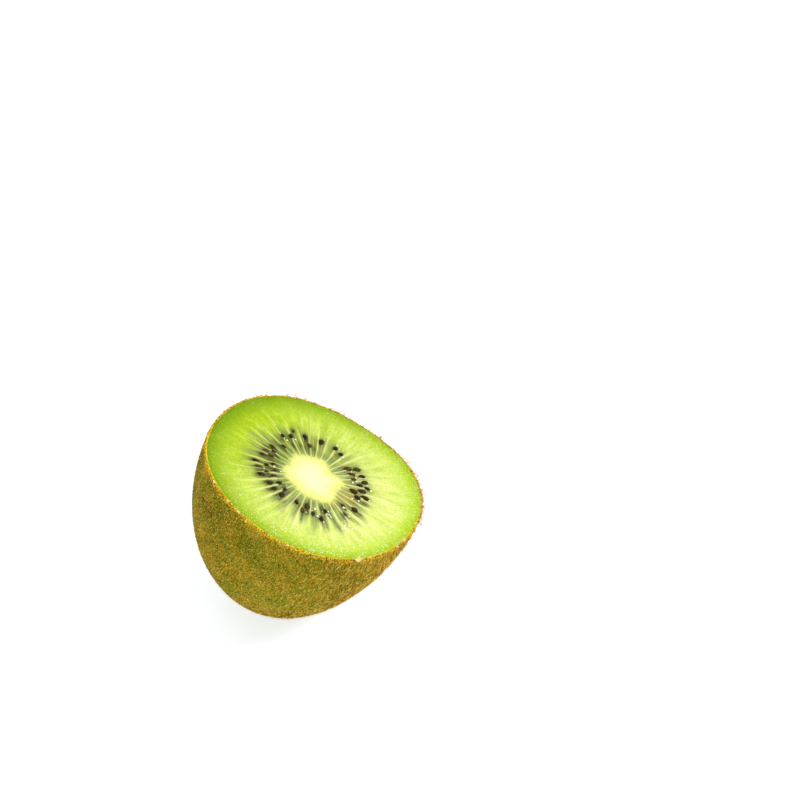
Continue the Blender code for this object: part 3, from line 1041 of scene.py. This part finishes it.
def make_flakes():
    """Small torn flakes of pale skin that stand on the rim, as one piece."""
    steps = np.linspace(-0.5, 0.5, FLAKE_STEPS)
    u, v = np.meshgrid(steps, steps, indexing="ij")
    grid = np.stack([u, v, np.zeros_like(u)], -1).reshape(-1, 3)
    n = FLAKE_STEPS
    i, j = np.meshgrid(np.arange(n - 1), np.arange(n - 1), indexing="ij")
    a = (i * n + j).ravel()
    upper = np.stack([a, a + n, a + n + 1, a + 1], -1)
    lower = upper[:, ::-1] + n * n
    k = np.arange(n - 1)
    last = (n - 1) * n
    edges = [(k * n, (k + 1) * n), ((k + 1) * n + n - 1, k * n + n - 1), (k + 1, k), (last + k, last + k + 1)]
    walls = [np.stack([p, p + n * n, q + n * n, q], -1)[:, ::-1] for p, q in edges]
    quads = np.concatenate([upper, lower] + walls)
    points = []
    for number, (angle_deg, side) in enumerate(FLAKES):
        ragged = 1.0 + 0.28 * soft_noise(grid, 0.30, 21 + number) * (np.hypot(grid[:, 0], grid[:, 1]) > 0.3)
        x, y = grid[:, 0] * ragged, grid[:, 1] * ragged * 0.62
        curl = 0.35 * x**2 + 0.20 * y + 0.10 * soft_noise(grid, 0.25, 41 + number)
        top = np.stack([x, y, curl], -1) * side
        bottom = top - [0.0, 0.0, FLAKE_THICK]
        at = math.radians(angle_deg)
        turn = np.array(Matrix.Rotation(at + math.pi / 2 + 0.35, 3, "Z") @ Matrix.Rotation(-0.5, 3, "X"))
        seat = turned(rim(at) + 0.02 * MM, at, 0.16 * MM)
        points.append(np.concatenate([top, bottom]) @ turn.T + seat)
    shift = np.arange(len(FLAKES))[:, None, None] * len(points[0])
    obj = mesh_from("rim_flakes", placed(np.concatenate(points)), quads=(quads[None] + shift).reshape(-1, 4))
    g = Graph("dry_flake", Roughness=0.7)
    tone = g.noise(g.place(), 2400.0, 3.0)
    stops = ((0.35, (240, 196, 60)), (0.5, (255, 244, 160)), (0.65, (255, 255, 226)))
    obj.data.materials.append(g.finish(g.ramp(tone, stops)))
    return obj


# Floor, light and camera

CAMERA_AZIMUTH = -23.7
CAMERA_ELEVATION = 50.0
CAMERA_DISTANCE = 0.85
FACE_PIXEL = (313.8, 476.8)  # where the photograph has the middle of the cut face
PIXELS_PER_MM = 4.622  # there
PICTURE_SIDE = 800
SENSOR = 36.0


def view_axes():
    a, e = math.radians(CAMERA_AZIMUTH), math.radians(CAMERA_ELEVATION)
    back = Vector((math.sin(a) * math.cos(e), -math.cos(a) * math.cos(e), math.sin(e)))
    right = Vector((math.cos(a), math.sin(a), 0.0))
    return right, back.cross(right), back


def make_camera():
    right, up, back = view_axes()
    middle = PICTURE_SIDE / 2
    aim = (
        FACE_CENTRE
        + right * ((middle - FACE_PIXEL[0]) / PIXELS_PER_MM * MM)
        + up * ((FACE_PIXEL[1] - middle) / PIXELS_PER_MM * MM)
    )
    place = FACE_CENTRE + back * CAMERA_DISTANCE
    z_axis = (place - aim).normalized()
    x_axis = (right - z_axis * right.dot(z_axis)).normalized()
    y_axis = z_axis.cross(x_axis)
    data = bpy.data.cameras.new("camera")
    data.sensor_width = SENSOR
    data.lens = SENSOR * CAMERA_DISTANCE / (PICTURE_SIDE / PIXELS_PER_MM * MM)
    camera = bpy.data.objects.new("camera", data)
    camera.matrix_world = Matrix.Translation(place) @ Matrix((x_axis, y_axis, z_axis)).transposed().to_4x4()
    bpy.context.scene.collection.objects.link(camera)
    bpy.context.scene.camera = camera


def make_light(name, direction, distance, side, power, colour=(1.0, 1.0, 1.0)):
    data = bpy.data.lights.new(name, "AREA")
    data.shape = "DISK"
    data.size = side
    data.energy = power
    data.color = colour
    light = bpy.data.objects.new(name, data)
    light.location = FACE_CENTRE + direction.normalized() * distance
    light.rotation_euler = direction.to_track_quat("Z", "Y").to_euler()
    bpy.context.scene.collection.objects.link(light)


def make_surroundings():
    bpy.ops.mesh.primitive_plane_add(size=6.0, location=(0.0, 0.0, 0.0))
    floor = bpy.context.object
    floor.name = "floor"
    g = Graph(
        "white_floor",
        Roughness=0.9,
        Specular_IOR_Level=0.1,
        Emission_Color=(0.89, 0.95, 1.0, 1.0),
        Emission_Strength=0.56,
    )
    speck = g.noise(g.place(), 3.0, 2.0)
    floor.data.materials.append(g.finish(g.mix(speck, (0.84, 0.86, 0.93, 1.0), (0.86, 0.88, 0.94, 1.0))))

    world = bpy.data.worlds.new("white_room")
    world.use_nodes = True
    background = world.node_tree.nodes["Background"]
    background.inputs["Color"].default_value = (1.0, 1.0, 1.0, 1.0)
    background.inputs["Strength"].default_value = 0.42
    bpy.context.scene.world = world

    right, up, back = view_axes()
    above = Vector((0.0, 0.0, 1.0))
    make_light("key", right * 0.9 + above * 0.9 - back * 0.1, 0.7, 0.30, 2.7, (1.0, 0.99, 0.97))
    make_light("fill", back * 1.0 - right * 0.5 - above * 0.35, 0.8, 0.6, 2.0, (1.0, 0.99, 0.98))
    make_light("top", above * 1.0 + up * 0.3 - right * 0.2, 0.9, 0.7, 1.2)
    bpy.context.scene.view_settings.view_transform = "Standard"


def main():
    make_camera()
    seeds = draw_spots(SEED_ARCS, SEED_DRAW, SEED_SPACING, SEED_SINK)
    buried = draw_spots(BURIED_ARCS, LOOK_DRAW, SEED_SPACING, SEED_SINK)
    flesh = make_flesh(seeds, buried)
    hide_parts("flesh", "core")
    skin = make_skin()
    seed_piece = make_seeds(seeds)
    juice = make_juice_glints(seeds)
    flakes = make_flakes()
    fuzz = make_fuzz()
    for piece in (flesh, skin, seed_piece, juice, flakes, *fuzz):
        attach(piece, "root")
    make_surroundings()


main()
